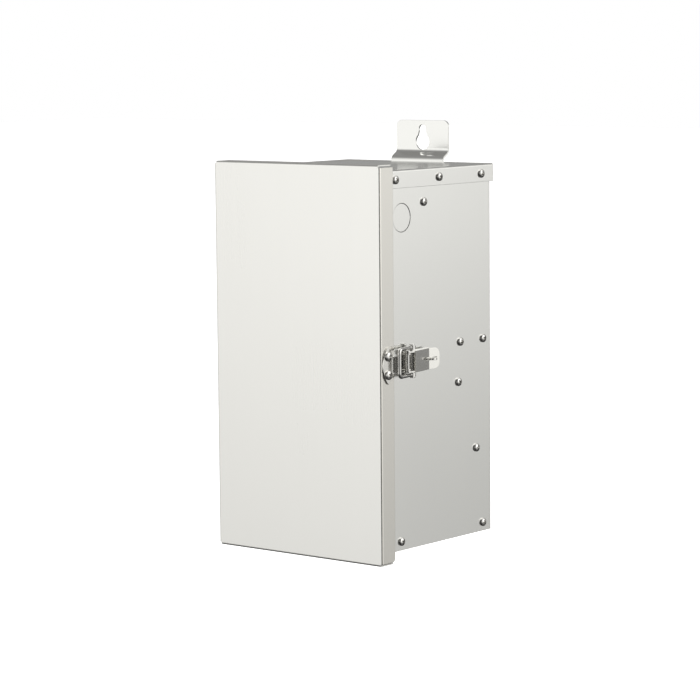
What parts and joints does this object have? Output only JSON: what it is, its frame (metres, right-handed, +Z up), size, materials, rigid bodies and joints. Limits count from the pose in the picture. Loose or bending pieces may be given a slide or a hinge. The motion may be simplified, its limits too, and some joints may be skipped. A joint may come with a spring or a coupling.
{
  "type": "wall-hung low-voltage power controller",
  "caption": "Stainless steel wall-hung controller case with a hinged pan door, draw latch, keyhole hanger, timer, toroidal transformer and terminal block.",
  "frame": {"origin": "centre of the round end of the hanger's keyhole, on the hanger's rear face, which lies on the wall plane", "axes": "+X to the right seen from the front, +Y into the wall, so -Y is out of the door, +Z up"},
  "size_m": [0.1767, 0.1525, 0.3401],
  "materials": {
    "case_sheet": "vertically brushed stainless steel, lightly reflective",
    "door_sheet": "vertically brushed stainless steel, satin",
    "cap_sheet": "brushed stainless steel, satin",
    "bright_steel": "polished nickel-plated steel",
    "latch_steel": "bright pressed stainless steel",
    "hanger_steel": "bright rolled stainless steel",
    "galvanised": "zinc-plated sheet, faint mottling",
    "panel_paint": "fine textured grey powder coat",
    "black_rubber": "matte black rubber",
    "foam": "closed-cell foam strip, matte",
    "label_film": "blank satin film label",
    "timer_plastic": "fine-textured light grey moulding",
    "dial_plastic": "white moulding with a soft gloss",
    "orange_plastic": "orange moulding",
    "black_plastic": "black moulding, fine texture",
    "red_plastic": "red glossy moulding",
    "lens": "tinted clear lens",
    "copper_winding": "enamelled copper wire, wound side by side",
    "brass": "nickel-free turned brass, satin",
    "nylon": "dark grey nylon moulding",
    "lead_mixed": "insulated leads in four colours",
    "lead_black_white": "one white and one black insulated lead",
    "lead_green": "green insulated lead"
  },
  "bodies": {
    "case": {"case_wrap": "case_sheet", "top_cap": "cap_sheet", "cap_screws": "bright_steel", "bottom_pan": "case_sheet", "bottom_screws": "bright_steel", "hanger_bracket": "hanger_steel", "hanger_rivets": "bright_steel", "rear_standoffs": "black_rubber", "knockout_slug": "case_sheet", "hinge_case_leaves": "latch_steel", "hinge_pins": "bright_steel", "hinge_case_rivets": "bright_steel", "latch_base": "latch_steel", "latch_base_rivets": "bright_steel", "divider_shelf": "galvanised", "shelf_grommets": "black_rubber", "control_panel": "panel_paint", "chassis_screws": "bright_steel", "timer_housing": "timer_plastic", "rocker_bezel": "black_plastic", "breaker_body": "black_plastic", "breaker_nut": "bright_steel", "pilot_bezel": "bright_steel", "pilot_lens": "lens", "photocell_socket": "black_plastic", "transformer_bracket": "galvanised", "toroid_coil": "copper_winding", "toroid_pads": "black_rubber", "toroid_washer": "galvanised", "toroid_bolt": "bright_steel", "toroid_nut": "bright_steel", "terminal_bracket": "galvanised", "terminal_block": "black_plastic", "terminal_screws": "brass", "small_screws": "bright_steel", "cord_gland": "nylon", "gland_nut": "nylon", "outlet_bushings": "nylon", "ground_lug": "brass", "secondary_leads": "lead_mixed", "primary_leads": "lead_black_white", "supply_leads": "lead_black_white", "ground_lead": "lead_green"},
    "door": {"door_shell": "door_sheet", "door_gasket": "foam", "door_label": "label_film", "hinge_door_leaves": "latch_steel", "hinge_door_rivets": "bright_steel", "strike_plate": "latch_steel", "strike_screws": "bright_steel"},
    "latch_lever": {"latch_lever": "latch_steel", "latch_lever_pin": "bright_steel", "latch_bail_pin": "bright_steel"},
    "latch_bail": {"latch_bail": "bright_steel"},
    "timer_dial": {"timer_dial": "dial_plastic"},
    "timer_switch": {"timer_switch": "orange_plastic"},
    "rocker": {"rocker_paddle": "black_plastic"},
    "breaker_button": {"breaker_button": "red_plastic"}
  },
  "joints": [
    {"name": "door_hinge", "type": "hinge", "parent": "case", "child": "door", "pos_m": [-0.0766, -0.1355, -0.157], "axis": [0, 0, 1], "range_deg": [-95, 0]},
    {"name": "lever_pivot", "type": "hinge", "parent": "case", "child": "latch_lever", "pos_m": [0.078, -0.1235, -0.1613], "axis": [0, 0, 1], "range_deg": [-140, 0]},
    {"name": "bail_pivot", "type": "hinge", "parent": "latch_lever", "child": "latch_bail", "pos_m": [0.0776, -0.1175, -0.1613], "axis": [0, 0, 1], "range_deg": [0, 140]},
    {"name": "dial_turn", "type": "hinge", "parent": "case", "child": "timer_dial", "pos_m": [-0.026, -0.1175, -0.081], "axis": [0, 1, 0], "continuous": true},
    {"name": "timer_slide", "type": "slide", "parent": "case", "child": "timer_switch", "axis": [0, 0, 1], "range_m": [0, 0.007]},
    {"name": "rocker_tilt", "type": "hinge", "parent": "case", "child": "rocker", "pos_m": [0.042, -0.1079, -0.051], "axis": [0, 0, 1], "range_deg": [-20, 0]},
    {"name": "breaker_pop", "type": "slide", "parent": "case", "child": "breaker_button", "axis": [0, -1, 0], "range_m": [0, 0.003]}
  ],
  "couplings": [
    {"joint": "bail_pivot", "follows": "lever_pivot", "ratio": -1}
  ]
}
